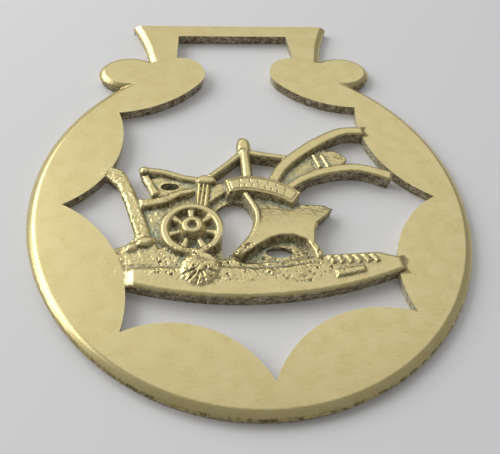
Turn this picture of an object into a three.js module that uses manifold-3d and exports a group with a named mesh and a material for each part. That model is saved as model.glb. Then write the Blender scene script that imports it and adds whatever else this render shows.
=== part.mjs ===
// A cast horse brass: a flat ring with a strap hanger, and a plough in relief across its opening.
// Millimetres. The brass lies on its flat back at z = 0, its face up, its hanger towards +Y.
// Every outline is drawn about the ring's centre; the finished casting is moved once, at the end.
import * as THREE from "three";
import { mergeVertices } from "three/addons/utils/BufferGeometryUtils.js";
import Module from "manifold-3d";

const wasm = await Module();
wasm.setup();

// ---- driving dimensions ----

const RING_RADIUS = 39;
const PLATE = 2.3;               // thickness of the ring and the hanger
const RIM_BEVEL = 1.6;           // width of the worn bevel round the outside
const RIM_DROP = 0.9;            // how far that bevel falls
const CUSP_RADIUS = 33.3;        // where two scallops of the opening meet in a point
// The points' directions in degrees, filed by hand a little off every 45, and the inward bulge
// of the scallop that runs from each to the next.
const CUSPS = [136, 178.4, 226, 269.5, 316.4, 361.1, 406.4];
const SCALLOP_SAGS = [4.5, 4.6, 5, 5.3, 4.9, 4.1];
const HANGER_TOP = 50;
const HANGER_WAIST = { x: 18.5, y: 40.6 };
const HANGER_CORNER = 21.6;      // half the hanger's width at its top edge
const SLOT = { top: 46.5, half: 11.7, foot: 39.3, footHalf: 12.4 };
const LOBE = { x: 22, y: 35.2, halfLength: 6.3, halfHeight: 4.8 };
const EAR = { x: 11.5, y: 34.6, radius: 4.7 };   // the lobe's round inner end
const EAR_SAG = 1.7;             // bulge of the lobe's lower edge

// Heights of the plough's parts above the back.
const WEB = 1.5;
const GROUND = 2.2;
const BAR = 2.4;
const ARM = 2.9;
const BEAM = 2.5;
const ROD = 2.8;
const STRIP = 3.0;
const HANDLE = 3.0;
const LEVER = 3.3;
const BOARD = 3.2;
const PLAQUE = 3.6;

const WHEEL = { x: -11.3, y: -5.5, radius: 5.3, inner: 4.05, top: 3.2, floor: 1.8 };
const HUB = { radius: 1.8, top: 4.2, bore: 0.75 };
const SPOKE = { count: 7, first: 39, width: 0.85, top: 2.9 };
const WEAR = 0.35;               // bevel on the relief's worn edges

// ---- making solids ----

function solidOf(geometry) {
  geometry.deleteAttribute("normal");
  geometry.deleteAttribute("uv");
  const merged = mergeVertices(geometry, 1e-4);
  return new wasm.Manifold(new wasm.Mesh({
    numProp: 3,
    vertProperties: new Float32Array(merged.attributes.position.array),
    triVerts: new Uint32Array(merged.index.array),
  }));
}

function geometryOf(solid) {
  const mesh = solid.getMesh();
  const geometry = new THREE.BufferGeometry();
  geometry.setAttribute("position", new THREE.BufferAttribute(mesh.vertProperties, 3));
  geometry.setIndex(new THREE.BufferAttribute(mesh.triVerts, 1));
  geometry.computeVertexNormals();
  return geometry;
}

function join(solids) {
  return solids.reduce((whole, solid) => whole.add(solid));
}

function cut(solid, tools) {
  return tools.reduce((left, tool) => left.subtract(tool), solid);
}

// A shape raised from z = 0 to the height top, its upper edges bevelled inside the outline.
// The same bevel reaches below z = 0, where the back's trim takes it off.
function raise(shape, top, bevel = WEAR, drop = bevel, steps = 8) {
  return solidOf(new THREE.ExtrudeGeometry(shape, {
    depth: top - drop,
    curveSegments: steps,
    bevelEnabled: bevel > 0,
    bevelThickness: drop,
    bevelSize: bevel,
    bevelOffset: -bevel,
    bevelSegments: 1,
  }));
}

// A shape as a cutter, from z = floor up through everything.
function cutter(shape, floor = -5, steps = 8) {
  const geometry = new THREE.ExtrudeGeometry(shape, {
    depth: 20,
    curveSegments: steps,
    bevelEnabled: false,
  });
  geometry.translate(0, 0, floor);
  return solidOf(geometry);
}

function block([x0, x1], [y0, y1], [z0, z1]) {
  const geometry = new THREE.BoxGeometry(x1 - x0, y1 - y0, z1 - z0);
  geometry.translate((x0 + x1) / 2, (y0 + y1) / 2, (z0 + z1) / 2);
  return solidOf(geometry);
}

// A turned solid; its profile is a list of [radius, height] that starts and ends on the axis.
function turned(profile, x, y, segments) {
  const geometry = new THREE.LatheGeometry(profile.map(([r, z]) => new THREE.Vector2(r, z)), segments);
  geometry.rotateX(Math.PI / 2);
  geometry.translate(x, y, 0);
  return solidOf(geometry);
}

// ---- making outlines ----

function polygon(points) {
  return new THREE.Shape(points.map(([x, y]) => new THREE.Vector2(x, y)));
}

function ellipse(x, y, halfLength, halfHeight, turn = 0) {
  const shape = new THREE.Shape();
  shape.absellipse(x, y, halfLength, halfHeight, 0, Math.PI * 2, false, turn);
  return shape;
}

// A closed outline that runs smoothly through a few points.
function smooth(points, steps = 3) {
  const corners = points.map(([x, y]) => new THREE.Vector3(x, y, 0));
  const route = new THREE.CatmullRomCurve3(corners, true, "centripetal");
  return polygon(route.getPoints(points.length * steps).slice(0, -1).map(({ x, y }) => [x, y]));
}

// A bar that follows a route, with its width given at the start, the middle and the end.
function band(route, [start, middle, end], steps = 4) {
  const curve = new THREE.SplineCurve(route.map(([x, y]) => new THREE.Vector2(x, y)));
  const count = (route.length - 1) * steps;
  const left = [];
  const right = [];
  for (let i = 0; i <= count; i += 1) {
    const t = i / count;
    const { x, y } = curve.getPoint(t);
    const along = curve.getTangent(t);
    const before = THREE.MathUtils.lerp(start, middle, t * 2);
    const after = THREE.MathUtils.lerp(middle, end, t * 2 - 1);
    const half = (t < 0.5 ? before : after) / 2;
    left.unshift([x - along.y * half, y + along.x * half]);
    right.push([x + along.y * half, y - along.x * half]);
  }
  return polygon([...right, ...left]);
}

function onCircle(radius, degrees) {
  const angle = THREE.MathUtils.degToRad(degrees);
  return [radius * Math.cos(angle), radius * Math.sin(angle)];
}

// Adds to a path the arc between two points that bulges by sag to its left, or to its right
// where sag is negative.
function bulge(path, from, to, sag) {
  const chord = Math.hypot(to[0] - from[0], to[1] - from[1]);
  const radius = ((chord / 2) ** 2 + sag ** 2) / (2 * sag);
  const back = (radius - sag) / chord;
  const x = (from[0] + to[0]) / 2 + (to[1] - from[1]) * back;
  const y = (from[1] + to[1]) / 2 - (to[0] - from[0]) * back;
  const start = Math.atan2(from[1] - y, from[0] - x);
  const end = Math.atan2(to[1] - y, to[0] - x);
  path.absarc(x, y, Math.abs(radius), start, end, sag > 0);
}

// ---- the ring, its hanger and its opening ----

function ringDisc() {
  const profile = [
    [0, 0],
    [RING_RADIUS, 0],
    [RING_RADIUS, PLATE - RIM_DROP],
    [RING_RADIUS - RIM_BEVEL * 0.4, PLATE - RIM_DROP * 0.35],
    [RING_RADIUS - RIM_BEVEL, PLATE],
    [0, PLATE],
  ];
  return turned(profile, 0, 0, 128);
}

// The hanger's sides are hollow. It is drawn too tall, then cut square across the top.
function hanger() {
  const over = RIM_BEVEL * 2;
  const side = new THREE.QuadraticBezierCurve(
    new THREE.Vector2(HANGER_WAIST.x, HANGER_WAIST.y),
    new THREE.Vector2(HANGER_WAIST.x + 0.6, (HANGER_WAIST.y + HANGER_TOP) / 2),
    new THREE.Vector2(HANGER_CORNER + over * 0.4, HANGER_TOP + over),
  );
  const right = side.getPoints(8).map(({ x, y }) => [x, y]);
  const left = right.map(([x, y]) => [-x, y]).reverse();
  const foot = [[-18, 38], [-15, 30], [15, 30], [18, 38]];
  const body = raise(polygon([...foot, ...right, ...left]), PLATE, RIM_BEVEL, RIM_DROP);
  return cut(body, [block([-40, 40], [HANGER_TOP, HANGER_TOP + 10], [-5, 5])]);
}

function lobe(side) {
  const outer = ellipse(side * LOBE.x, LOBE.y, LOBE.halfLength, LOBE.halfHeight);
  const neck = polygon([
    [side * 10, 30], [side * 21, 31.2], [side * 23, 33], [side * 23, 37.6], [side * 10, 38.5],
  ]);
  return raise(outer, PLATE, RIM_BEVEL * 0.8, RIM_DROP, 14).add(raise(neck, PLATE, 0, 0));
}

// The scallops, then up round one ear, across the strap slot and down round the other.
function opening() {
  const { x, y, radius } = EAR;
  const lowest = Math.PI * 1.25;
  const earFoot = [x + radius * Math.cos(lowest), y + radius * Math.sin(lowest)];
  const cusps = CUSPS.map((degrees) => onCircle(CUSP_RADIUS, degrees));
  const path = new THREE.Shape();
  path.moveTo(...cusps[0]);
  SCALLOP_SAGS.forEach((sag, i) => bulge(path, cusps[i], cusps[i + 1], sag));
  bulge(path, cusps.at(-1), earFoot, EAR_SAG);
  path.absarc(x, y, radius, lowest, Math.PI / 2, true);
  path.lineTo(SLOT.footHalf, SLOT.foot);
  path.lineTo(SLOT.half, SLOT.top);
  path.lineTo(-SLOT.half, SLOT.top);
  path.lineTo(-SLOT.footHalf, SLOT.foot);
  path.absarc(-x, y, radius, Math.PI / 2, Math.PI - lowest, true);
  bulge(path, [-earFoot[0], earFoot[1]], cusps[0], EAR_SAG);
  return cutter(path);
}

// ---- the plough, from left to right ----

// The sunk web that joins the plough's parts, with its see-through holes.
function web() {
  const outline = polygon([
    [-25.2, -9.3], [-21, -6.3], [-20.2, 1.7], [-18, 1.8], [-18.8, 5], [-19.8, 6.6], [-19.6, 8.2],
    [-12, 6.3], [-9.6, 5.5], [-4.7, 4.5], [-1, 5.2], [3, 5.1], [7.4, 1.8], [8, -0.5], [13.2, -0.9],
    [11.6, -3.8], [9.8, -6.5], [9.2, -9.5], [10.2, -12.5], [-23.5, -13.5], [-24.6, -11],
  ]);
  const gap = smooth([
    [-7.1, -1.3], [-4.8, 0.7], [-2.3, 0.7], [-0.8, -2.2], [-1.3, -6], [-4, -9.2], [-6.2, -10.9],
    [-6.5, -8], [-6, -4.6],
  ]);
  const eye = ellipse(-14.8, 4.3, 1.65, 0.85, -0.05);
  const pocket = ellipse(3.2, -10.1, 2.35, 1.1, -0.05);
  return cut(raise(outline, WEB, 0, 0), [cutter(gap), cutter(eye, -5, 6), cutter(pocket, -5, 6)]);
}

// The upright bar that joins the ring on the left, and the lumps of earth at its foot.
function uprightBar() {
  const bar = polygon([
    [-27, 7.4], [-25.3, 9.3], [-23.2, 8.8], [-22.3, 7.4], [-20, 0.8], [-18.4, -5.2], [-18.9, -7.2],
    [-20.9, -6.2], [-22.7, 0.9], [-24.1, 5], [-26, 7],
  ]);
  const bank = smooth([
    [-26, -9.6], [-22.3, -7.6], [-20.6, -6], [-18.6, -5.4], [-17.4, -8], [-17, -12], [-25, -12],
  ]);
  const clod = ellipse(-19.2, -7.6, 1.6, 1.1, 0.3);
  return join([raise(bar, BAR, 0.7, 0.6), raise(bank, GROUND, 0.5, 0.6), raise(clod, ARM, 0.5, 0.5, 6)]);
}

// The open bracket between the bar and the wheel: an arm with a knob, a leg and a beam.
function bracket() {
  const arm = band([[-19.5, 8], [-16, 7.4], [-12.4, 6], [-9.4, 5.3]], [1.6, 1.5, 1.5]);
  const leg = band([[-19.3, 7.4], [-18.2, 4.8], [-17.2, 2.4]], [1.3, 1.3, 1.8]);
  const cheek = smooth([[-18.3, 6.2], [-17.4, 2.4], [-14, 2.5], [-10, 4], [-10, 5.6], [-14, 6.5]]);
  const beam = band([[-20.2, 0.6], [-16.5, 1.1], [-13.5, 2.5], [-9.8, 3.6]], [2.1, 1.7, 1.4]);
  const knob = [[0, 0], [1, 0], [1, ARM - 0.4], [0.7, ARM + 0.1], [0, ARM + 0.3]];
  const eye = cutter(ellipse(-14.8, 4.3, 1.65, 0.85, -0.05), -5, 6);
  return cut(join([
    raise(arm, ARM), raise(leg, BEAM), raise(cheek, GROUND), raise(beam, BEAM),
    turned(knob, -19.2, 7.8, 12),
  ]), [eye]);
}

// The fluted post above the wheel, with its cap, and the beam's stub on its right.
function post() {
  const cap = smooth([[-10, 4.4], [-9.6, 5.8], [-8.3, 6.1], [-6.8, 5.4], [-6.8, 4.3], [-8.3, 3.9]]);
  const shaft = polygon([[-9.9, 4.6], [-7.7, 4.6], [-8.4, -0.9], [-10.4, -0.9]]);
  const stub = polygon([[-7.8, 5.2], [-4.5, 4.6], [-4.3, 3], [-6, 1.8], [-8.4, -0.2]]);
  const flutes = [];
  for (const offset of [-0.45, 0.25]) {
    flutes.push(cutter(band([[-8.9 + offset, 4], [-9.5 + offset, -0.5]], [0.3, 0.3, 0.3], 1), LEVER - 0.7));
  }
  return join([cut(raise(shaft, LEVER - 0.2), flutes), raise(cap, LEVER + 0.1), raise(stub, BEAM)]);
}

function wheel() {
  const { x, y, radius, inner, top, floor } = WHEEL;
  const rim = [
    [0, 0], [radius, 0], [radius, top - WEAR], [radius - WEAR, top], [inner + 0.15, top],
    [inner, top - 0.15], [inner, floor], [0, floor],
  ];
  const hub = [
    [0, 1], [HUB.radius + 0.4, 1], [HUB.radius + 0.2, SPOKE.top], [HUB.radius, HUB.top - 0.2],
    [HUB.radius - 0.2, HUB.top], [HUB.bore, HUB.top], [HUB.bore, HUB.top - 1], [0, HUB.top - 1],
  ];
  const parts = [turned(rim, x, y, 48), turned(hub, x, y, 24)];
  for (let i = 0; i < SPOKE.count; i += 1) {
    const degrees = SPOKE.first + (i * 360) / SPOKE.count;
    const [dx, dy] = onCircle(inner + 0.4, degrees);
    const route = [[x, y], [x + dx, y + dy]];
    parts.push(raise(band(route, [SPOKE.width, SPOKE.width, SPOKE.width], 1), SPOKE.top, 0.2));
  }
  return join(parts);
}

// The lever that stands behind the beam, with its stay and the rod to the handles.
function lever() {
  const stem = band([[-0.8, 4.6], [-0.8, 12.4]], [2, 1.9, 1.8]);
  const grip = smooth([[-2.1, 12], [-2, 14.4], [-1.2, 15.5], [0.1, 15], [0.5, 13.4], [0.1, 11.8]]);
  const stay = band([[-1, 12.2], [-4.2, 9.1], [-7.8, 6]], [1.2, 1.1, 1.1]);
  const rod = band([[-0.4, 12], [3, 11.2], [7.4, 10.3]], [1.5, 1.4, 1.4]);
  return join([raise(stem, LEVER, 0.6), raise(grip, LEVER, 0.5), raise(stay, ROD), raise(rod, ROD)]);
}

// Two curved handles that run to the ring, and the ribbed web between their roots.
function handles() {
  const upper = band([[3.4, 4], [6.4, 8.6], [12.1, 13.3], [18.4, 16.7], [23, 16.9]], [1.9, 2.2, 1.9]);
  const lower = band([[5.6, 2.4], [9.4, 5.1], [14.3, 6.9], [20.2, 7.4], [26.2, 5.2]], [1.5, 1.9, 2.2]);
  const between = smooth([
    [4.6, 4.6], [8, 9.6], [12.7, 12.9], [15.6, 13], [18.3, 11.5], [18.3, 9.6], [14, 7], [8, 3.6],
  ]);
  const ribs = [0, 1.6].map((step) => (
    raise(band([[12.2 + step, 11.4], [13.2 + step, 8]], [0.8, 0.9, 0.8], 2), ROD - 0.3, 0.25)
  ));
  return join([raise(upper, HANDLE, 0.5), raise(lower, HANDLE, 0.5), raise(between, WEB + 0.3), ...ribs]);
}

// The curved name plate: a sunk panel inside a raised border, with rows of plain strokes.
function namePlate() {
  const route = [[-4.7, 3.2], [-1.8, 3.7], [1.6, 3.2], [4.8, 1.9], [7.4, 0]];
  const curve = new THREE.SplineCurve(route.map(([x, y]) => new THREE.Vector2(x, y)));
  const plate = raise(band(route, [3, 3.8, 3.2], 4), PLAQUE, 0.3);
  const panel = band([0.08, 0.3, 0.5, 0.7, 0.92].map((t) => curve.getPoint(t).toArray()), [1.9, 2.5, 2.1], 4);
  const strokes = [];
  for (const [row, count] of [[0.55, 6], [-0.5, 8]]) {
    for (let i = 0; i < count; i += 1) {
      const t = 0.16 + (0.7 * (i + 0.5)) / count;
      const { x, y } = curve.getPoint(t);
      const along = curve.getTangent(t);
      const foot = [x - along.y * (row - 0.25), y + along.x * (row - 0.25)];
      const head = [x - along.y * (row + 0.25), y + along.x * (row + 0.25)];
      strokes.push(raise(band([foot, head], [0.3, 0.3, 0.3], 1), PLAQUE, 0));
    }
  }
  return cut(plate, [cutter(panel, PLAQUE - 0.25)]).add(join(strokes));
}

// The mouldboard: a broad blade that falls towards the name plate and ends in a horn.
function mouldboard() {
  const blade = polygon([
    [-1.4, 2], [-0.3, -0.8], [-0.1, -3], [-0.5, -5.6], [-1.5, -7.5], [-4.4, -10.6], [-3.4, -11.4],
    [-0.2, -9.3], [1.8, -8.1], [3.8, -7.6], [5.8, -7.7], [7.6, -8.6], [9.2, -9.8], [9.8, -6.5],
    [10.4, -5], [12.4, -3.2], [13.9, -1.6], [12.4, -0.6], [8, -0.4], [6.6, -1.2], [2, 1.6],
  ]);
  const leg = band([[8.6, -8.4], [9.2, -10.2], [9.9, -12.4]], [1.4, 1.3, 1.5]);
  const lip = band([[-1.6, 2], [0.1, -2.6], [-0.9, -6.8], [-4.2, -11]], [0.9, 1, 1]);
  const fall = new THREE.BoxGeometry(30, 10, 3);
  fall.translate(0, 5, 1.5);
  fall.rotateX(-0.17);
  fall.translate(6, -6.4, BOARD);
  return join([
    cut(raise(blade, BOARD, 0.4, 0.35), [solidOf(fall)]), raise(lip, BOARD, 0.35), raise(leg, BOARD, 0.3),
  ]);
}

// ---- the ground the plough stands on ----

function ground() {
  const floor = smooth([
    [-23.6, -12], [-19, -9.6], [-15.5, -8.5], [-11.3, -9.5], [-8.2, -10], [-6.9, -11.4], [-4.6, -11.2],
    [-3.4, -12], [2, -12.3], [9.4, -12], [9.4, -15], [-10, -15.5], [-23, -14.6],
  ]);
  const strip = new THREE.Shape();
  strip.moveTo(23.6, -12.6);
  for (const [x, y] of [[20, -11.4], [10.4, -11.7], [8, -13.2], [0, -13.8], [-7, -13.2], [-23.2, -12.7]]) {
    strip.lineTo(x, y);
  }
  strip.lineTo(-23.2, -15.7);
  bulge(strip, [-23.2, -15.7], [24, -15.1], -4);
  const slope = new THREE.BoxGeometry(4, 10, 4);
  slope.translate(-2, 0, 2);
  slope.rotateY(-0.45);
  slope.translate(-21.1, -14, STRIP);
  return raise(floor, GROUND, 0.4).add(cut(raise(strip, STRIP, 0.7, 0.5), [solidOf(slope)]));
}

// Turned-up earth: a fluted clod below the wheel and a block with furrows on the right.
function clods() {
  const { x, y } = { x: -10.4, y: -13.6 };
  const dome = [[0, 0], [3.3, 0], [3.2, STRIP], [2.4, STRIP + 0.5], [0, STRIP + 0.7]];
  const flutes = [];
  for (let degrees = 200; degrees <= 340; degrees += 28) {
    const [dx, dy] = onCircle(3.6, degrees);
    const [ix, iy] = onCircle(1, degrees);
    flutes.push(cutter(band([[x + ix, y + iy], [x + dx, y + dy]], [0.3, 0.35, 0.5], 1), STRIP + 0.2));
  }
  const slab = polygon([[11.8, -16.4], [11.8, -14.9], [16.8, -14.2], [17, -15.4]]);
  const furrows = [];
  for (let i = 0; i < 6; i += 1) {
    const start = 11 + i * 1.5;
    furrows.push(raise(band([[start, -11.9], [start + 0.9, -13.6]], [0.6, 0.8, 0.5], 1), STRIP + 0.4, 0.25));
  }
  return join([cut(turned(dome, x, y, 24), flutes), raise(slab, STRIP + 0.4, 0.3), ...furrows]);
}

// ---- the casting ----

function casting() {
  const plate = cut(join([ringDisc(), hanger(), lobe(1), lobe(-1)]), [opening()]);
  const plough = join([
    web(), uprightBar(), bracket(), post(), wheel(), lever(), handles(), namePlate(), mouldboard(),
    ground(), clods(),
  ]);
  const back = block([-60, 60], [-60, 60], [-10, 0]);
  return cut(plate.add(plough), [back]);
}

const brass = new THREE.MeshStandardMaterial({ name: "brass", color: 0xb39b5c, roughness: 0.32, metalness: 1 });
const horseBrass = new THREE.Mesh(geometryOf(casting()), brass);
horseBrass.name = "horse_brass";
horseBrass.position.y = -(HANGER_TOP - RING_RADIUS) / 2;

const group = new THREE.Group();
group.name = "horse_brass_part";
group.add(horseBrass);

export default group;
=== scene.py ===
"""A cast horse brass, lying on its back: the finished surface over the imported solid.

The casting is made as a height field about the ring's centre, in millimetres, from the same
outlines as the solid. Its edge is traced, its face is triangulated with more points where there is
relief, and its walls and flat back close it. Marks of wear and dirt are stored on the mesh.
"""
import math

import bpy
import numpy as np
from mathutils import Euler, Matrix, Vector
from mathutils.geometry import delaunay_2d_cdt


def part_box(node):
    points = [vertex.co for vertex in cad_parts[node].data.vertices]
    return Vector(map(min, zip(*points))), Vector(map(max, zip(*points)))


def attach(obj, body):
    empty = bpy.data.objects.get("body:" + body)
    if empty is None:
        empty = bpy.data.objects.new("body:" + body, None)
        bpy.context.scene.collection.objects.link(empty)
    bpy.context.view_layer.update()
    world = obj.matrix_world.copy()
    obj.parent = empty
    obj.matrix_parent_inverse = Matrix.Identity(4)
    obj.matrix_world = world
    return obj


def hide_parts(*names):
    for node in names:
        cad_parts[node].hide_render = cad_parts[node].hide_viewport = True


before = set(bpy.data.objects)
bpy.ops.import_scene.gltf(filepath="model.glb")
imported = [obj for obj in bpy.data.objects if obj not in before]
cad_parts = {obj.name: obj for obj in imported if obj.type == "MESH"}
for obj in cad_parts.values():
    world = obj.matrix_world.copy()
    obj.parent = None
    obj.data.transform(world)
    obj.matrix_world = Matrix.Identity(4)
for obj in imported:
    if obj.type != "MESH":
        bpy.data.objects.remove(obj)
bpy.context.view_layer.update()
LOW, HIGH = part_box("horse_brass")
MM = 0.001

# ---- driving sizes, in millimetres ----

RING_RADIUS = (HIGH[0] - LOW[0]) / 2 / MM
RING_Y = LOW[1] / MM + RING_RADIUS       # the ring's centre in the frame
HANGER_TOP = HIGH[1] / MM - RING_Y
TALLEST = HIGH[2] / MM
PLATE = 2.3
RIM_BEVEL = 1.6
RIM_DROP = 0.9
CUSP_RADIUS = 33.3
CUSPS = (136, 178.4, 226, 269.5, 316.4, 361.1, 406.4)
SCALLOP_SAGS = (4.5, 4.6, 5, 5.3, 4.9, 4.1)
EAR_X, EAR_Y, EAR_RADIUS, EAR_SAG = 11.5, 34.6, 4.7, 1.7
LOBE_X, LOBE_Y, LOBE_LENGTH, LOBE_HEIGHT = 22, 35.2, 6.3, 4.8
SLOT_TOP, SLOT_HALF, SLOT_FOOT, SLOT_FOOT_HALF = 46.5, 11.7, 39.3, 12.4
WAIST_X, WAIST_Y, CORNER_X = 18.5, 40.6, 21.6
HANGER_FOOT = 28       # the hanger and the lobes are above this height up the ring

# Heights of the plough's parts above the back.
WEB, GROUND, BAR, ARM, BEAM, ROD = 1.5, 2.2, 2.4, 2.9, 2.5, 2.8
STRIP, HANDLE, LEVER, BOARD, PLAQUE = 3.0, 3.0, 3.3, 3.2, 3.6
WHEEL_X, WHEEL_Y, WHEEL_RADIUS, WHEEL_INNER = -11.3, -5.5, 5.3, 4.05
WHEEL_TOP, WHEEL_FLOOR, HUB_RADIUS, HUB_BORE = 3.2, 1.8, 1.8, 0.75
SPOKES, FIRST_SPOKE, SPOKE_WIDTH, SPOKE_TOP = 7, 39, 0.85, 2.9

# The photograph's camera: where it stands as seen from the casting, and what it aims at.
CAMERA_FROM = (192.26, 53.26)   # azimuth and elevation
CAMERA_DISTANCE = 114.4
CAMERA_AIM = (-1.03, -3.46)
CAMERA_ROLL = 8.13
CAMERA_LENS = 46.8

STEP = 0.1             # between the samples of the height field
REACH = 2.4            # distances are exact up to here
DRAFT = 0.3            # how far the walls lean in towards the back
INSET = 0.18           # between the edge and the row of points that follows it
CLEAR_OF_EDGE = 0.2    # how far in from the edge the face's slope can be read
EDGE_DROP = 0.04       # how far the face falls at its very edge
WALL_ROWS = (0.45, 1.0)     # shares of a wall's height, from the top, where it has points
FINE, COARSE, FLAT = 0.135, 0.3, 1.6  # spacing of the face's points: relief, bevels, flat

EDGE = np.arange(-RING_RADIUS - 1, RING_RADIUS + 1 + STEP, STEP)
RISE = np.arange(-RING_RADIUS - 1, HANGER_TOP + 1 + STEP, STEP)
X, Y = np.meshgrid(EDGE, RISE)


# ---- outlines ----

def circle_point(radius, degrees):
    angle = math.radians(degrees)
    return radius * math.cos(angle), radius * math.sin(angle)


def arc(x, y, radius, start, end, count=24):
    """Points of an arc about x, y between two angles in radians."""
    angles = np.linspace(start, end, count + 1)
    return np.column_stack([x + radius * np.cos(angles), y + radius * np.sin(angles)])


def bulge(start, end, sag, count=24):
    """Points of the arc from start to end that bulges by sag to its left."""
    (x0, y0), (x1, y1) = start, end
    chord = math.hypot(x1 - x0, y1 - y0)
    radius = ((chord / 2) ** 2 + sag ** 2) / (2 * sag)
    back = (radius - sag) / chord
    x = (x0 + x1) / 2 + (y1 - y0) * back
    y = (y0 + y1) / 2 - (x1 - x0) * back
    first = math.atan2(y0 - y, x0 - x)
    last = math.atan2(y1 - y, x1 - x)
    turn = 2 * math.pi
    sweep = (last - first) % turn
    if sag > 0:
        sweep -= turn
    return arc(x, y, abs(radius), first, first + sweep, count)


def spline(points, closed, steps=8):
    """Catmull-Rom curve through points."""
    points = np.asarray(points, float)
    if closed:
        padded = np.vstack([points[-1], points, points[0], points[1]])
    else:
        padded = np.vstack([2 * points[0] - points[1], points, 2 * points[-1] - points[-2]])
    t = np.linspace(0, 1, steps, endpoint=False)[:, None]
    pieces = []
    for a, b, c, d in zip(padded, padded[1:], padded[2:], padded[3:]):
        pieces.append(((2 * b) + (c - a) * t + (2 * a - 5 * b + 4 * c - d) * t ** 2
                       + (3 * b - a - 3 * c + d) * t ** 3) / 2)
    if not closed:
        pieces.append(points[-1:])
    return np.vstack(pieces)


def smooth(points):
    return spline(points, closed=True)


def band(route, widths):
    """Outline of a bar that follows a route, as wide as widths says along it."""
    middle = spline(route, closed=False) if len(route) > 2 else np.asarray(route, float)
    t = np.linspace(0, 1, len(middle))
    half = np.interp(t, np.linspace(0, 1, len(widths)), widths)[:, None] / 2
    along = np.gradient(middle, axis=0)
    along /= np.linalg.norm(along, axis=1, keepdims=True)
    side = np.column_stack([-along[:, 1], along[:, 0]]) * half
    return np.vstack([middle - side, (middle + side)[::-1]])


def ellipse(x, y, length, height, turn=0.0, count=40):
    angles = np.linspace(0, 2 * math.pi, count, endpoint=False)
    along, across = length * np.cos(angles), height * np.sin(angles)
    return np.column_stack([x + along * math.cos(turn) - across * math.sin(turn),
                            y + along * math.sin(turn) + across * math.cos(turn)])


# ---- fields over the samples ----

def rows_between(low, high):
    return slice(max(0, int((low - RISE[0]) / STEP)), max(0, int((high - RISE[0]) / STEP) + 2))


def columns_between(low, high):
    return slice(max(0, int((low - EDGE[0]) / STEP)), max(0, int((high - EDGE[0]) / STEP) + 2))


def route_distance(points, reach=REACH):
    """Distance from every sample to a line through points, up to reach."""
    distance = np.full(X.shape, reach)
    for (x0, y0), (x1, y1) in zip(points, points[1:]):
        window = (rows_between(min(y0, y1) - reach, max(y0, y1) + reach),
                  columns_between(min(x0, x1) - reach, max(x0, x1) + reach))
        px, py = X[window] - x0, Y[window] - y0
        dx, dy = x1 - x0, y1 - y0
        t = np.clip((px * dx + py * dy) / max(dx * dx + dy * dy, 1e-12), 0, 1)
        near = np.hypot(px - t * dx, py - t * dy)
        distance[window] = np.minimum(distance[window], near)
    return distance


def inside(points):
    """Signed distance to a closed outline, positive inside it, up to REACH."""
    loop = np.vstack([points, points[:1]])
    distance = route_distance(loop)
    odd = np.zeros(X.shape, bool)
    for (x0, y0), (x1, y1) in zip(loop, loop[1:]):
        if y0 == y1:
            continue
        rows = (RISE > min(y0, y1)) & (RISE <= max(y0, y1))
        crossing = x0 + (RISE[rows] - y0) * (x1 - x0) / (y1 - y0)
        odd[rows] ^= EDGE[None, :] < crossing[:, None]
    return np.where(odd, distance, -distance)


def disc(x, y, radius):
    return radius - np.hypot(X - x, Y - y)


def smoothstep(value, low, high):
    t = np.clip((value - low) / (high - low), 0, 1)
    return t * t * (3 - 2 * t)


def raised(distance, top, wear=0.4, drop=None, steep=2.4):
    """A form with a rounded edge: its height falls by drop over wear, then steeply outside it."""
    drop = wear * 0.8 if drop is None else drop
    worn = np.clip(1 - distance / wear, 0, 1)
    rounded = drop * (1 - np.sqrt(1 - worn ** 2))
    return top - rounded - np.clip(-distance, 0, None) * steep


def blend(first, second, soft=0.25):
    """The higher of two surfaces, with a small fillet where they meet."""
    near = np.clip(soft - np.abs(first - second), 0, None)
    return np.maximum(first, second) + near ** 2 / (4 * soft)


def blurred(field, size):
    """A field averaged by a round brush of the given size."""
    rows = np.fft.fftfreq(field.shape[0], STEP)[:, None]
    columns = np.fft.rfftfreq(field.shape[1], STEP)[None, :]
    brush = np.exp(-2 * (math.pi * size) ** 2 * (rows ** 2 + columns ** 2))
    return np.fft.irfft2(np.fft.rfft2(field) * brush, field.shape)


def noise(size, seed):
    """Smooth random field of unit spread, with lumps of the given size."""
    field = blurred(np.random.default_rng(seed).normal(size=X.shape), size)
    return field / field.std()


# ---- the ring, its hanger and its opening ----

def bevelled(distance, width):
    """Plate height with a worn bevel: a round shoulder, a slope and a tight outer corner."""
    t = np.clip(distance / width, 0, 1)
    slope = RIM_DROP * (1 - smoothstep(t, -0.25, 1.0))
    corner = 0.35 * np.clip(1 - distance / 0.35, 0, 1) ** 2
    return PLATE - slope - corner - np.clip(-distance, 0, None) * 2.4


def hanger_outline():
    over = RIM_BEVEL * 2
    foot = np.array([[15, 30], [18, 38]])
    start = np.array([WAIST_X, WAIST_Y])
    middle = np.array([WAIST_X + 0.6, (WAIST_Y + HANGER_TOP) / 2])
    end = np.array([CORNER_X + over * 0.4, HANGER_TOP + over])
    t = np.linspace(0, 1, 20)[:, None]
    side = (1 - t) ** 2 * start + 2 * t * (1 - t) * middle + t ** 2 * end
    right = np.vstack([foot, side])
    return np.vstack([right, right[::-1] * [-1, 1]])


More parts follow.
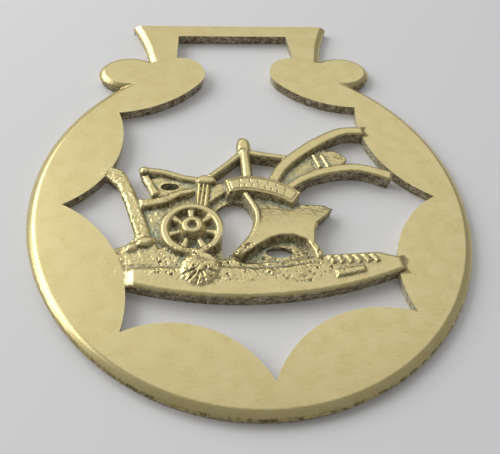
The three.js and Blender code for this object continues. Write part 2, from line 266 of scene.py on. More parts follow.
def opening_outline():
    lowest = math.pi * 1.25
    foot = (EAR_X + EAR_RADIUS * math.cos(lowest), EAR_Y + EAR_RADIUS * math.sin(lowest))
    cusps = [circle_point(CUSP_RADIUS, degrees) for degrees in CUSPS]
    parts = [bulge(a, b, sag) for a, b, sag in zip(cusps, cusps[1:], SCALLOP_SAGS)]
    parts.append(bulge(cusps[-1], foot, EAR_SAG))
    parts.append(arc(EAR_X, EAR_Y, EAR_RADIUS, lowest, math.pi / 2))
    parts.append([[SLOT_FOOT_HALF, SLOT_FOOT], [SLOT_HALF, SLOT_TOP],
                  [-SLOT_HALF, SLOT_TOP], [-SLOT_FOOT_HALF, SLOT_FOOT]])
    parts.append(arc(-EAR_X, EAR_Y, EAR_RADIUS, math.pi / 2, math.pi - lowest))
    parts.append(bulge((-foot[0], foot[1]), cusps[0], EAR_SAG))
    return np.vstack(parts)


def plate_fields():
    """The plate's inside distance and its height."""
    ring = disc(0, 0, RING_RADIUS)
    hanger = inside(hanger_outline())
    lobes = np.maximum(inside(ellipse(LOBE_X, LOBE_Y, LOBE_LENGTH, LOBE_HEIGHT)),
                       inside(ellipse(-LOBE_X, LOBE_Y, LOBE_LENGTH, LOBE_HEIGHT)))
    neck = np.array([[10, 30], [21, 31.2], [23, 33], [23, 37.6], [10, 38.5]])
    neck = np.maximum(inside(neck), inside(neck * [-1, 1]))
    height = bevelled(ring, RIM_BEVEL)
    height = np.maximum(height, bevelled(hanger, RIM_BEVEL))
    height = np.maximum(height, bevelled(lobes, RIM_BEVEL * 0.8))
    height = np.where(neck > 0, PLATE, height)
    solid = np.maximum.reduce([ring, hanger, lobes])
    solid = np.minimum(solid, HANGER_TOP - Y)
    return np.minimum(solid, -inside(opening_outline())), height


# ---- the plough, from left to right: each form is an inside distance and a height ----

def web():
    outline = np.array([
        [-25.2, -9.3], [-21, -6.3], [-20.2, 1.7], [-18, 1.8], [-18.8, 5], [-19.8, 6.6], [-19.6, 8.2],
        [-12, 6.3], [-9.6, 5.5], [-4.7, 4.5], [-1, 5.2], [3, 5.1], [7.4, 1.8], [8, -0.5],
        [13.2, -0.9], [11.6, -3.8], [9.8, -6.5], [9.2, -9.5], [10.2, -12.5], [-23.5, -13.5],
        [-24.6, -11],
    ])
    distance = inside(outline)
    return [(distance, raised(distance, WEB, wear=0.2))]


def see_through():
    """The gap between wheel and mouldboard, the bracket's eye and the pocket's eye."""
    gap = smooth([
        [-7.1, -1.3], [-4.8, 0.7], [-2.3, 0.7], [-0.8, -2.2], [-1.3, -6], [-4, -9.2], [-6.2, -10.9],
        [-6.5, -8], [-6, -4.6],
    ])
    eye = ellipse(-14.8, 4.3, 1.65, 0.85, -0.05)
    pocket = ellipse(3.2, -10.1, 2.35, 1.1, -0.05)
    return np.maximum.reduce([inside(gap), inside(eye), inside(pocket)])


def upright_bar():
    bar = inside(np.array([
        [-27, 7.4], [-25.3, 9.3], [-23.2, 8.8], [-22.3, 7.4], [-20, 0.8], [-18.4, -5.2],
        [-18.9, -7.2], [-20.9, -6.2], [-22.7, 0.9], [-24.1, 5], [-26, 7],
    ]))
    bank = inside(smooth([
        [-26, -9.6], [-22.3, -7.6], [-20.6, -6], [-18.6, -5.4], [-17.4, -8], [-17, -12], [-25, -12],
    ]))
    clod = inside(ellipse(-19.2, -7.6, 1.7, 1.2, 0.3))
    crumb = inside(ellipse(-21.4, -8.6, 1.3, 1.0, 0.5))
    return [
        (bar, raised(bar, BAR, wear=0.75, drop=0.7)),
        (bank, raised(bank, GROUND, wear=0.6)),
        (clod, raised(clod, ARM, wear=1.1, drop=0.9)),
        (crumb, raised(crumb, ARM - 0.2, wear=0.9, drop=0.8)),
    ]


def bracket():
    arm = inside(band([[-19.5, 8], [-16, 7.4], [-12.4, 6], [-9.4, 5.3]], [1.6, 1.5, 1.5]))
    leg = inside(band([[-19.3, 7.4], [-18.2, 4.8], [-17.2, 2.4]], [1.3, 1.3, 1.8]))
    cheek = inside(smooth([
        [-18.3, 6.2], [-17.4, 2.4], [-14, 2.5], [-10, 4], [-10, 5.6], [-14, 6.5],
    ]))
    beam = inside(band([[-20.2, 0.6], [-16.5, 1.1], [-13.5, 2.5], [-9.8, 3.6]], [2.1, 1.7, 1.4]))
    knob = disc(-19.2, 7.8, 1.0)
    return [
        (arm, raised(arm, ARM, wear=0.7)),
        (leg, raised(leg, BEAM, wear=0.5)),
        (cheek, raised(cheek, GROUND, wear=0.6)),
        (beam, raised(beam, BEAM, wear=0.7)),
        (knob, raised(knob, ARM + 0.3, wear=0.95, drop=0.8)),
    ]


def post():
    cap = inside(smooth([[-10, 4.4], [-9.6, 5.8], [-8.3, 6.1], [-6.8, 5.4], [-6.8, 4.3], [-8.3, 3.9]]))
    shaft = inside(np.array([[-9.9, 4.6], [-7.7, 4.6], [-8.4, -0.9], [-10.4, -0.9]]))
    stub = inside(np.array([[-7.8, 5.2], [-4.5, 4.6], [-4.3, 3], [-6, 1.8], [-8.4, -0.2]]))
    fluted = raised(shaft, LEVER - 0.2, wear=0.4)
    for offset in (-0.45, 0.25):
        flute = route_distance([[-8.7 + offset, 4], [-9.5 + offset, -0.7]])
        fluted -= 0.45 * np.clip(1 - flute / 0.26, 0, 1)
    return [
        (shaft, fluted),
        (cap, raised(cap, LEVER + 0.15, wear=0.7)),
        (stub, raised(stub, BEAM, wear=0.6)),
    ]


def wheel():
    radius = np.hypot(X - WHEEL_X, Y - WHEEL_Y)
    rim = np.minimum(WHEEL_RADIUS - radius, radius - WHEEL_INNER)
    floor = WHEEL_RADIUS - 0.3 - radius
    hub = HUB_RADIUS - radius
    forms = [
        (floor, raised(floor, WHEEL_FLOOR, wear=0.2)),
        (WHEEL_RADIUS - radius, raised(rim, WHEEL_TOP, wear=0.45, drop=0.3)),
    ]
    for i in range(SPOKES):
        x, y = circle_point(WHEEL_INNER + 0.4, FIRST_SPOKE + i * 360 / SPOKES)
        flare = 0.12 * np.clip(radius - 2.4, 0, 2)
        spoke = SPOKE_WIDTH / 2 + flare - route_distance(
            [[WHEEL_X, WHEEL_Y], [WHEEL_X + x, WHEEL_Y + y]])
        forms.append((spoke, raised(spoke, SPOKE_TOP, wear=0.4, drop=0.3)))
    turned = raised(hub, TALLEST, wear=0.55, drop=0.35, steep=2)
    turned -= 0.9 * smoothstep(HUB_BORE - radius, -0.12, 0.25)
    forms.append((hub, turned))
    return forms


def lever():
    stem = inside(band([[-0.8, 4.6], [-0.8, 12.4]], [2, 1.8]))
    grip = inside(smooth([[-2.1, 12], [-2, 14.4], [-1.2, 15.5], [0.1, 15], [0.5, 13.4], [0.1, 11.8]]))
    stay = inside(band([[-1, 12.2], [-4.2, 9.1], [-7.8, 6]], [1.2, 1.1, 1.1]))
    rod = inside(band([[-0.4, 12], [3, 11.2], [7.4, 10.3]], [1.5, 1.4, 1.4]))
    return [
        (stem, raised(stem, LEVER, wear=0.9, drop=0.8)),
        (grip, raised(grip, LEVER + 0.05, wear=1.1, drop=1.0)),
        (stay, raised(stay, ROD, wear=0.5)),
        (rod, raised(rod, ROD, wear=0.6)),
    ]


def handles():
    upper = inside(band([[3.4, 4], [6.4, 8.6], [12.1, 13.3], [18.4, 16.7], [23, 16.9]],
                        [1.9, 2.2, 1.9]))
    lower = inside(band([[5.6, 2.4], [9.4, 5.1], [14.3, 6.9], [20.2, 7.4], [26.2, 5.2]],
                        [1.5, 1.9, 2.2]))
    between = inside(smooth([
        [4.2, 3.6], [8, 9.6], [12.7, 12.9], [15.6, 13], [18.3, 11.5], [18.3, 9.6], [14, 7], [8, 3.2],
    ]))
    forms = [
        (between, raised(between, WEB + 0.3, wear=0.4)),
        (upper, raised(upper, HANDLE, wear=0.6, drop=0.4)),
        (lower, raised(lower, HANDLE, wear=0.6, drop=0.4)),
    ]
    for step in (0, 1.6):
        rib = inside(band([[12.2 + step, 11.4], [13.2 + step, 8]], [0.9, 1, 0.9]))
        forms.append((rib, raised(rib, ROD - 0.3, wear=0.45, drop=0.5)))
    return forms


def name_plate():
    """A curved plate with an incised border and two rows of plain strokes."""
    route = [[-4.7, 3.2], [-1.8, 3.7], [1.6, 3.2], [4.8, 1.9], [7.4, 0]]
    curve = spline(route, closed=False, steps=12)
    along = np.gradient(curve, axis=0)
    along /= np.linalg.norm(along, axis=1, keepdims=True)
    across = np.column_stack([-along[:, 1], along[:, 0]])
    plate = inside(band(route, [3, 3.8, 3.2]))
    height = raised(plate, PLAQUE, wear=0.4, drop=0.3)
    border = np.abs(plate - 0.55)
    height -= 0.2 * np.clip(1 - border / 0.17, 0, 1)
    for offset, count in ((0.55, 6), (-0.5, 8)):
        for i in range(count):
            k = int((0.16 + 0.7 * (i + 0.5) / count) * (len(curve) - 1))
            foot = curve[k] + across[k] * (offset - 0.28) + along[k] * 0.08 * (i % 2)
            head = curve[k] + across[k] * (offset + 0.28)
            stroke = route_distance([foot, head], reach=0.6)
            height -= 0.16 * np.clip(1 - stroke / 0.17, 0, 1)
    return [(plate, height)]


def mouldboard():
    blade = inside(np.array([
        [-1.4, 2], [-0.3, -0.8], [-0.1, -3], [-0.5, -5.6], [-1.5, -7.5], [-4.4, -10.6],
        [-3.4, -11.4], [-0.2, -9.3], [1.8, -8.1], [3.8, -7.6], [5.8, -7.7], [7.6, -8.6],
        [9.2, -9.8], [9.8, -6.5], [10.4, -5], [12.4, -3.2], [13.9, -1.6], [12.4, -0.6], [8, -0.4],
        [6.6, -1.2], [2, 1.6],
    ]))
    fall = 1.15 * smoothstep(Y, -6.6, 2.0) + 0.25 * smoothstep(X, 9, 13)
    leg = inside(band([[8.6, -8.4], [9.2, -10.2], [9.9, -12.4]], [1.4, 1.3, 1.5]))
    lip = inside(band([[-1.6, 2], [0.1, -2.6], [-0.9, -6.8], [-4.2, -11]], [0.9, 1, 1]))
    return [
        (blade, raised(blade, BOARD - fall, wear=0.45, drop=0.3)),
        (leg, raised(leg, BOARD, wear=0.6)),
        (lip, raised(lip, BOARD, wear=0.45, drop=0.3)),
    ]


def ground():
    floor = inside(smooth([
        [-23.6, -12], [-19, -9.6], [-15.5, -8.5], [-11.3, -9.5], [-8.2, -10], [-6.9, -11.4],
        [-4.6, -11.2], [-3.4, -12], [2, -12.3], [9.4, -12], [9.4, -15], [-10, -15.5], [-23, -14.6],
    ]))
    front = bulge((-23.2, -15.7), (24, -15.1), -4, 60)
    back = [[23.6, -12.6], [20, -11.4], [10.4, -11.7], [8, -13.2], [0, -13.8], [-7, -13.2],
            [-23.2, -12.7]]
    strip = inside(np.vstack([front, back]))
    slope = np.clip(-21.1 - X, 0, None) * 0.48
    return [
        (floor, raised(floor, GROUND, wear=0.5)),
        (strip, raised(strip, STRIP, wear=0.9, drop=0.5, steep=1.1) - slope),
    ]


def clods():
    """Turned-up earth: a fluted clod below the wheel, and a block with furrows on the right."""
    x, y = -10.4, -13.6
    dome = disc(x, y, 3.2)
    shell = raised(dome, STRIP + 0.6, wear=2.6, drop=0.7, steep=2)
    for degrees in range(200, 341, 28):
        inner, outer = circle_point(0.9, degrees), circle_point(3.3, degrees)
        flute = route_distance([[x + inner[0], y + inner[1]], [x + outer[0], y + outer[1]]])
        shell -= 0.35 * np.clip(1 - flute / 0.24, 0, 1)
    slab = inside(np.array([[11.8, -16.4], [11.8, -14.9], [16.8, -14.2], [17, -15.4]]))
    forms = [(dome, shell), (slab, raised(slab, STRIP + 0.35, wear=0.5, drop=0.35))]
    for i in range(6):
        start = 11 + i * 1.5
        furrow = inside(band([[start, -11.9], [start + 0.9, -13.6]], [0.7, 0.8]))
        forms.append((furrow, raised(furrow, STRIP + 0.35, wear=0.4)))
    return forms


def plough_fields():
    """The plough's inside distance and its height."""
    forms = []
    for part in (web, ground, upright_bar, bracket, handles, lever, post, wheel, mouldboard,
                 name_plate, clods):
        forms += part()
    solid = np.full(X.shape, -REACH)
    height = np.full(X.shape, -6.0)
    for distance, top in forms:
        solid = np.maximum(solid, distance)
        height = blend(height, top)
    return np.minimum(solid, -see_through()), height


# ---- the casting as fields: outline, height and marks ----

def earth_field():
    """Where the ground looks like loose earth: its floor and the upper part of the strip."""
    low = -15 - 1.9 * (1 - (X / 20) ** 2) + 0.4 * np.sin(0.7 * X + 1) + 0.3 * noise(0.8, 16)
    upper = smoothstep(Y, low, low + 0.9) * smoothstep(-Y, 8.6, 9.6)
    across = smoothstep(X, -20.5, -17) * smoothstep(-X, -17, -9.5)
    return upper * across


def sample(field, x, y):
    """A field's values at points, between its samples."""
    column = np.clip((np.asarray(x) - EDGE[0]) / STEP, 0, len(EDGE) - 1.001)
    row = np.clip((np.asarray(y) - RISE[0]) / STEP, 0, len(RISE) - 1.001)
    c, r = column.astype(int), row.astype(int)
    u, v = column - c, row - r
    low = field[r, c] * (1 - u) + field[r, c + 1] * u
    high = field[r + 1, c] * (1 - u) + field[r + 1, c + 1] * u
    return low * (1 - v) + high * v


def casting_fields():
    plate, plate_height = plate_fields()
    plough, plough_height = plough_fields()
    solid = np.maximum(plate, plough)
    relief = smoothstep(plough, -0.3, 0.1) * smoothstep(plough_height - plate_height, -0.2, 0.1)
    relief = np.where(plate < 0, 1.0, relief)
    sand = 0.03 * noise(0.14, 11) + 0.03 * noise(0.4, 12)
    top = smoothstep(plough_height, 2.3, 2.9)
    earth = earth_field()
    sand = sand * np.maximum(1 - 0.8 * top, 0.9 * earth)
    pits = np.clip(noise(0.12, 13) - 1.2, 0, 1.2) * 0.25 * earth
    wisps = 0.09 * np.sin(2.6 * (Y + 0.9 * np.sin(0.8 * X)) + 0.6 * noise(0.9, 14))
    plough_height = plough_height + sand - pits + wisps * earth * np.clip(noise(1.2, 15), 0, 1)
    # The plate's height runs on a little past its edge, so that samples at the edge aren't mixed.
    height = np.where(plate > -0.2, blend(plate_height, plough_height, 0.15), plough_height)
    return solid, np.minimum(height, TALLEST - 0.01), relief


SOLID, HEIGHT, RELIEF = casting_fields()
ROUGHCAST = noise(0.3, 21)


# ---- tracing the outline ----

def contour_loops(field):
    """Closed loops along the zero line of a field, each an array of points."""
    positive = field > 0
    codes = (positive[:-1, :-1] * 1 + positive[:-1, 1:] * 2
             + positive[1:, 1:] * 4 + positive[1:, :-1] * 8)
    rows, columns = np.nonzero((codes > 0) & (codes < 15))
    # Sides of a cell: 0 below, 1 right, 2 above, 3 left. Material stays on the left of a link.
    links = {1: [(0, 3)], 2: [(1, 0)], 3: [(1, 3)], 4: [(2, 1)], 6: [(2, 0)], 7: [(2, 3)],
             8: [(3, 2)], 9: [(0, 2)], 11: [(1, 2)], 12: [(3, 1)], 13: [(0, 1)], 14: [(3, 0)],
             5: [(0, 3), (2, 1)], 10: [(1, 0), (3, 2)]}

    def key(row, column, side):
        across = side in (0, 2)
        return row + (side == 2), column + (side == 1), across

    def point(row, column, across):
        first = field[row, column]
        second = field[row, column + 1] if across else field[row + 1, column]
        t = first / (first - second)
        return (EDGE[column] + STEP * t * across, RISE[row] + STEP * t * (not across))

    following = {}
    for row, column in zip(rows.tolist(), columns.tolist()):
        for start, end in links[int(codes[row, column])]:
            following[key(row, column, start)] = key(row, column, end)
    loops = []
    while following:
        start = next(iter(following))
        loop = []
        here = start
        while here in following:
            loop.append(point(*here))
            here = following.pop(here)
        loops.append(np.array(loop))
    return loops


def simplified(loop, tolerance, longest):
    """A loop with fewer points: none of the old ones is further off than tolerance."""
    def split(first, last, keep):
        stack = [(first, last)]
        while stack:
            a, b = stack.pop()
            if b - a < 2:
                continue
            base = points[b] - points[a]
            offset = points[a + 1:b] - points[a]
            away = np.abs(base[0] * offset[:, 1] - base[1] * offset[:, 0]) / (np.hypot(*base) + 1e-9)
            worst = int(away.argmax())
            if away[worst] > tolerance or np.hypot(*base) > longest:
                middle = a + 1 + worst if away[worst] > tolerance else (a + b) // 2
                keep.add(middle)
                stack += [(a, middle), (middle, b)]

    points = np.vstack([loop, loop[:1]])
    half = len(loop) // 2
    keep = {0, half}
    split(0, half, keep)
    split(half, len(loop), keep)
    return loop[sorted(keep - {len(loop)})]


# ---- the mesh ----

def hexagons(spacing, wanted):
    """Points of a triangular lattice where a field is above one half."""
    rows = np.arange(RISE[0] + 0.5, RISE[-1] - 0.5, spacing * math.sqrt(0.75))
    columns = np.arange(EDGE[0] + 0.5, EDGE[-1] - 0.5, spacing)
    x, y = np.meshgrid(columns, rows)
    x[1::2] += spacing / 2
    x, y = x.ravel(), y.ravel()
    keep = sample(wanted, x, y) > 0.5
    return np.column_stack([x, y])[keep]


def face_points():
    """Points inside the face: dense on relief, wider on the bevels, sparse where it is flat."""
    clear = (SOLID > 0.07).astype(float)
    relief = clear * (RELIEF > 0.02)
    plain = RELIEF <= 0.02
    edge = (SOLID > 0.16) * (SOLID < RIM_BEVEL + 0.3) * plain
    outer = disc(0, 0, RING_RADIUS) < RIM_BEVEL + 0.4
    bevel = edge * (outer | (Y > HANGER_FOOT))
    flat = (SOLID > 0.6) * plain * ~bevel
    return np.vstack([
        hexagons(FINE, relief),
        hexagons(COARSE, bevel.astype(float)),
        hexagons(FLAT, flat.astype(float)),
    ])


def outward(loop):
    """Unit normals of a traced loop, pointing away from the material, smoothed a little."""
    ahead = np.roll(loop, -1, axis=0)
    behind = np.roll(loop, 1, axis=0)
    along = ahead - behind
    normal = np.column_stack([along[:, 1], -along[:, 0]])
    normal /= np.linalg.norm(normal, axis=1, keepdims=True) + 1e-9
    normal = normal + 0.5 * (np.roll(normal, 1, axis=0) + np.roll(normal, -1, axis=0))
    return normal / (np.linalg.norm(normal, axis=1, keepdims=True) + 1e-9)


def filled(points, following):
    """Triangles over points, on the material's side of the outlines that come first in points."""
    edges = list(enumerate(following.tolist()))
    made = delaunay_2d_cdt([Vector(p) for p in points.tolist()], edges, [], 0, 1e-6)
    flat = np.array([v[:] for v in made[0]])
    triangles = np.array(made[2])
    place = np.zeros(len(points), int)
    for index, sources in enumerate(made[3]):
        for source in sources:
            place[source] = index
    count = len(following)
    start, end = place[:count], place[following]
    size = len(flat)
    forward = set((start * size + end).tolist())
    backward = set((end * size + start).tolist())
    middle = flat[triangles].mean(axis=1)
    inner = sample(SOLID, middle[:, 0], middle[:, 1]) > 0
    for first, second in ((0, 1), (1, 2), (2, 0)):
        sides = triangles[:, first] * size + triangles[:, second]
        inner |= np.isin(sides, list(forward))
        inner &= ~np.isin(sides, list(backward))
    return flat, triangles[inner], place


def casting_mesh():
    """Vertices, triangles and corner normals of the closed casting."""
    loops = [simplified(loop, 0.008, 0.28) for loop in contour_loops(SOLID) if len(loop) > 60]
    outlines = np.vstack(loops)
    normals = np.vstack([outward(loop) for loop in loops])
    starts = np.cumsum([0] + [len(loop) for loop in loops[:-1]])
    following = np.concatenate([start + np.roll(np.arange(len(loop)), -1)
                                for start, loop in zip(starts, loops)])
    count = len(outlines)

    inset = outlines - normals * INSET
    inset = inset[sample(SOLID, *inset.T) > 0.15]
    face, triangles, place = filled(np.vstack([outlines, inset, face_points()]), following)
    rim = place[:count]
    top = sample(HEIGHT, face[:, 0], face[:, 1])
    inner = outlines - normals * 0.08
    top[rim] = sample(HEIGHT, inner[:, 0], inner[:, 1]) - EDGE_DROP
    vertices = [np.column_stack([face, top])]
    walls = []
    upper = rim
    below = len(face)
    for share in WALL_ROWS:
        ring = outlines - normals * DRAFT * share
        rough = 0.05 * sample(ROUGHCAST, ring[:, 0], ring[:, 1]) * (share < 1)
        ring = ring - normals * np.clip(rough, -0.02, 0.12)[:, None]
        vertices.append(np.column_stack([ring, top[rim] * (1 - share)]))
        lower = below + np.arange(count)
        below += count
        walls.append(np.column_stack([upper, lower, upper[following]]))
        walls.append(np.column_stack([upper[following], lower, lower[following]]))
        upper = lower

    flat, under, place = filled(outlines, following)
    source = np.zeros(len(flat), int)
    source[place] = upper
    back = source[under][:, ::-1]

    # A normal for every corner: the top's from the height field, the walls' from the outline.
    vertices = np.vstack(vertices)
    rise_y, rise_x = np.gradient(HEIGHT, STEP)
    seen = face.copy()
    seen[rim] = outlines - normals * CLEAR_OF_EDGE
    up = np.column_stack([-sample(rise_x, *seen.T), -sample(rise_y, *seen.T), np.ones(len(face))])
    side = np.zeros((len(vertices), 3))
    side[rim, :2] = normals
    side[len(face):, :2] = np.tile(normals, (len(WALL_ROWS), 1))
    walls = np.vstack(walls)
    corner_normals = np.vstack([
        up[triangles].reshape(-1, 3),
        side[walls].reshape(-1, 3),
        np.tile([0, 0, -1.0], (back.size, 1)),
    ])
    corner_normals /= np.linalg.norm(corner_normals, axis=1, keepdims=True) + 1e-12
    return vertices, np.vstack([triangles, walls, back]), corner_normals


def add_marks(mesh, x, y, z):
    """Stores on every vertex how proud or hollow it is, and whether it is on the plough."""
    level = np.minimum(HEIGHT, z.max())
    level = np.where(SOLID > -0.3, np.maximum(level, 0.9), 0.9)
    fine = level - blurred(level, 0.35)
    broad = level - blurred(level, 1.1)
    marks = {"fine": fine, "broad": broad, "relief": RELIEF}
    for name, field in marks.items():
        values = sample(field, x, y).astype(np.float32)
        attribute = mesh.attributes.new(name, "FLOAT", "POINT")
        attribute.data.foreach_set("value", values)


def casting():
    """The brass as one closed mesh."""
    vertices, faces, corner_normals = casting_mesh()
    mesh = bpy.data.meshes.new("brass_casting")
    placed = (vertices + [0, RING_Y, 0]) * MM
    mesh.from_pydata(placed.tolist(), [], faces.tolist())
    mesh.polygons.foreach_set("use_smooth", np.ones(len(mesh.polygons), bool))
    mesh.normals_split_custom_set(corner_normals.tolist())
    add_marks(mesh, *vertices.T)
    piece = bpy.data.objects.new("brass_casting", mesh)
    bpy.context.collection.objects.link(piece)
    return piece


# ---- materials ----

class Nodes:
    """Short names for building one material's nodes."""

    def __init__(self, name):
        self.material = bpy.data.materials.new(name)
        self.material.use_nodes = True
        self.tree = self.material.node_tree
        self.tree.nodes.clear()
        self.output = self.add("ShaderNodeOutputMaterial")

    def add(self, kind, **values):
        node = self.tree.nodes.new(kind)
        for name, value in values.items():
            setattr(node, name, value)
        return node

    def put(self, value, socket):
        if isinstance(value, bpy.types.NodeSocket):
            self.tree.links.new(value, socket)
        else:
            socket.default_value = value

    def math(self, operation, *values, clamp=False):
        node = self.add("ShaderNodeMath", operation=operation, use_clamp=clamp)
        for value, socket in zip(values, node.inputs):
            self.put(value, socket)
        return node.outputs[0]

    def ramp(self, value, low, high, start=0.0, end=1.0):
        """A smooth step of value from low to high, going from start to end."""
        node = self.add("ShaderNodeMapRange", interpolation_type="SMOOTHSTEP")
        for item, socket in zip((value, low, high, start, end), node.inputs):
            self.put(item, socket)
        return node.outputs[0]

    def mix(self, share, first, second):
        node = self.add("ShaderNodeMix", data_type="RGBA")
        self.put(share, node.inputs[0])
        self.put(first, node.inputs[6])
        self.put(second, node.inputs[7])
        return node.outputs[2]

    def blend(self, share, first, second):
        node = self.add("ShaderNodeMix", data_type="FLOAT")
        for value, k in ((share, 0), (first, 2), (second, 3)):
            self.put(value, node.inputs[k])
        return node.outputs[0]

    def attribute(self, name):
        return self.add("ShaderNodeAttribute", attribute_name=name).outputs["Fac"]

    def noise(self, place, scale, detail=3.0, rough=0.55):
        """Noise over a place in millimetres; scale is lumps per millimetre."""
        node = self.add("ShaderNodeTexNoise")
        self.put(place, node.inputs["Vector"])
        for name, value in (("Scale", scale), ("Detail", detail), ("Roughness", rough)):
            node.inputs[name].default_value = value
        return node.outputs["Fac"]

    def scaled(self, place, scale, turn=0.0):
        node = self.add("ShaderNodeMapping")
        self.put(place, node.inputs["Vector"])
        node.inputs["Scale"].default_value = scale
        node.inputs["Rotation"].default_value = (0, 0, turn)
        return node.outputs[0]

    def bump(self, height, strength, distance, normal=None):
        node = self.add("ShaderNodeBump")
        node.inputs["Strength"].default_value = strength
        node.inputs["Distance"].default_value = distance
        self.put(height, node.inputs["Height"])
        if normal is not None:
            self.put(normal, node.inputs["Normal"])
        return node.outputs[0]


def colour(red, green, blue):
    """A linear colour from sRGB values out of 255."""
    def linear(value):
        value /= 255
        return value / 12.92 if value <= 0.04045 else ((value + 0.055) / 1.055) ** 2.4
    return (linear(red), linear(green), linear(blue), 1.0)


def brass_material():
    n = Nodes("brass")
    place = n.add("ShaderNodeTexCoord")
    mm = n.scaled(place.outputs["Object"], (1 / MM,) * 3)
    facing = n.add("ShaderNodeSeparateXYZ")
    n.put(place.outputs["Normal"], facing.inputs[0])
    level = n.math("ABSOLUTE", facing.outputs["Z"])
    wall = n.ramp(level, 0.25, 0.55, 1.0, 0.0)
    south = n.ramp(facing.outputs["Y"], -0.15, -0.75)
    fine, broad, relief = n.attribute("fine"), n.attribute("broad"), n.attribute("relief")

    patches = n.noise(mm, 0.35, 4)
    grains = n.noise(mm, 2.6, 4, 0.65)
    specks = n.noise(mm, 5.5, 2, 0.7)
    streaks = n.noise(n.scaled(mm, (0.5, 7.0, 0.5), 0.35), 1.0, 3)

    # Hollows of the relief keep dirt; its tops are rubbed bright.
    low = n.ramp(n.math("ADD", fine, n.math("MULTIPLY", n.math("SUBTRACT", grains, 0.5), 0.14)),
                 0.01, -0.13)
    deep = n.ramp(n.math("ADD", broad, n.math("MULTIPLY", n.math("SUBTRACT", patches, 0.5), 0.6)),
                  0.0, -0.5)
    hollow = n.math("MULTIPLY", relief, n.math("MAXIMUM", low, n.math("MULTIPLY", deep, 0.7)))
    # Painted shade: steep walls that face the front (-Y), away from the light from behind, get a
    # mottled dark brown colour and more roughness.
    painted_shade = n.math("MULTIPLY", south, n.ramp(level, 0.95, 0.6))
    painted_shade = n.math("MULTIPLY", painted_shade, n.ramp(n.noise(mm, 0.9, 4, 0.6), 0.40, 0.60, 0.45, 0.9))
    rough_cast = n.math("MAXIMUM", wall, n.math("MULTIPLY", hollow, 0.6))

    polished = n.mix(n.ramp(patches, 0.35, 0.65), colour(228, 213, 158), colour(223, 207, 149))
    polished = n.mix(n.math("MULTIPLY", n.ramp(streaks, 0.45, 0.75), 0.12),
                     polished, colour(206, 188, 126))
    residue = n.mix(n.ramp(grains, 0.38, 0.58), colour(118, 100, 60), colour(198, 196, 164))
    residue = n.mix(n.math("MULTIPLY", n.ramp(n.noise(mm, 0.22, 3), 0.48, 0.62), 0.6),
                    residue, colour(176, 190, 170))
    # The dark brown of the painted shade on front-facing walls.
    shade_brown = n.mix(n.ramp(grains, 0.35, 0.65), colour(70, 52, 30), colour(140, 124, 90))
    base = n.mix(hollow, polished, residue)
    base = n.mix(wall, base, n.mix(n.ramp(grains, 0.40, 0.58), colour(160, 148, 112),
                                   colour(226, 222, 200)))
    # Lays the painted shade onto the front-facing walls.
    base = n.mix(painted_shade, base, shade_brown)

    pits = n.ramp(specks, 0.66, 0.72)
    pits = n.math("MULTIPLY", pits, n.ramp(patches, 0.45, 0.6))
    base = n.mix(n.math("MULTIPLY", pits, 0.7), base, colour(70, 54, 30))

    rough = n.blend(n.ramp(streaks, 0.3, 0.8), 0.27, 0.36)
    rough = n.blend(rough_cast, rough, 0.62)
    rough = n.blend(painted_shade, rough, 0.7)
    metal = n.blend(n.math("MAXIMUM", n.math("MULTIPLY", hollow, 0.5),
                           n.math("MULTIPLY", wall, 0.5)), 1.0, 0.0)

    brushing = n.bump(streaks, 0.10, 0.02 * MM)
    pitted = n.bump(n.math("SUBTRACT", 1.0, pits), 0.5, 0.05 * MM, brushing)
    sandy = n.math("MULTIPLY", n.math("ADD", grains, n.math("MULTIPLY", specks, 0.5)), rough_cast)
    normal = n.bump(sandy, 0.5, 0.12 * MM, pitted)

    shader = n.add("ShaderNodeBsdfPrincipled")
    for value, name in ((base, "Base Color"), (rough, "Roughness"), (metal, "Metallic"),
                        (normal, "Normal")):
        n.put(value, shader.inputs[name])
    n.put(shader.outputs[0], n.output.inputs["Surface"])
    return n.material


def floor_material():
    n = Nodes("pale_floor")
    shader = n.add("ShaderNodeBsdfPrincipled")
    shader.inputs["Base Color"].default_value = (0.86, 0.86, 0.86, 1)
    shader.inputs["Roughness"].default_value = 0.9
    shader.inputs["Specular IOR Level"].default_value = 0.1
    n.put(shader.outputs[0], n.output.inputs["Surface"])
    return n.material


# ---- the stage ----

def floor():
    mesh = bpy.data.meshes.new("floor")
    half = 2.5
    mesh.from_pydata([(-half, -half, 0), (half, -half, 0), (half, half, 0), (-half, half, 0)],
                     [], [(0, 1, 2, 3)])
    piece = bpy.data.objects.new("floor", mesh)
    bpy.context.collection.objects.link(piece)
    mesh.materials.append(floor_material())
    piece.location.z = LOW[2] - 0.02 * MM


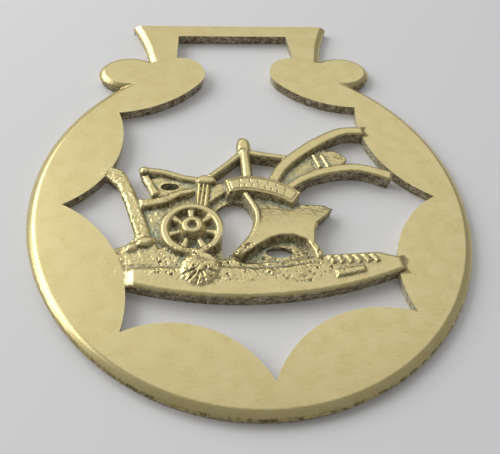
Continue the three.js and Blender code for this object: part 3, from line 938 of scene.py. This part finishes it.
def direction(azimuth, elevation):
    """Unit vector: azimuth in degrees from +Y towards +X, elevation above the floor."""
    a, e = math.radians(azimuth), math.radians(elevation)
    return Vector((math.sin(a) * math.cos(e), math.cos(a) * math.cos(e), math.sin(e)))


def softbox(name, azimuth, elevation, distance, width, height, bright, tint=(1, 1, 1)):
    """A rectangular light that faces the casting; bright is the radiance of its surface."""
    light = bpy.data.lights.new(name, "AREA")
    light.shape = "RECTANGLE"
    light.size, light.size_y = width, height
    light.energy = bright * math.pi * width * height
    light.color = tint
    lamp = bpy.data.objects.new(name, light)
    bpy.context.collection.objects.link(lamp)
    towards = direction(azimuth, elevation)
    lamp.location = towards * distance
    lamp.rotation_euler = towards.to_track_quat("Z", "Y").to_euler()


def studio():
    """Soft light from behind for the face, and a brighter box low on the left for the edges."""
    softbox("back_box", 2, 52, 0.75, 1.0, 0.7, 0.54)
    softbox("left_box", -64, 34, 0.6, 0.62, 0.36, 3.1)
    world = bpy.data.worlds.new("studio")
    bpy.context.scene.world = world
    world.use_nodes = True
    world.node_tree.nodes["Background"].inputs["Color"].default_value = (1, 1, 1, 1)
    world.node_tree.nodes["Background"].inputs["Strength"].default_value = 0.3


def camera():
    """At the photograph's viewing angle, turned a little about its own axis."""
    lens = bpy.data.cameras.new("camera")
    lens.lens = CAMERA_LENS
    lens.sensor_width = 36
    eye = bpy.data.objects.new("camera", lens)
    bpy.context.collection.objects.link(eye)
    look = -direction(*CAMERA_FROM)
    aim = Vector((CAMERA_AIM[0], CAMERA_AIM[1] + RING_Y, 0)) * MM
    eye.location = aim - look * CAMERA_DISTANCE * MM
    turned = look.to_track_quat("-Z", "Y").to_matrix().to_4x4()
    spin = Euler((0, 0, math.radians(CAMERA_ROLL))).to_matrix().to_4x4()
    eye.rotation_euler = (turned @ spin).to_euler()
    lens.clip_start = 0.005
    bpy.context.scene.camera = eye


def main():
    brass = casting()
    brass.data.materials.append(brass_material())
    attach(brass, "root")
    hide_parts("horse_brass")
    floor()
    studio()
    camera()
    bpy.context.scene.view_settings.view_transform = "Standard"


main()
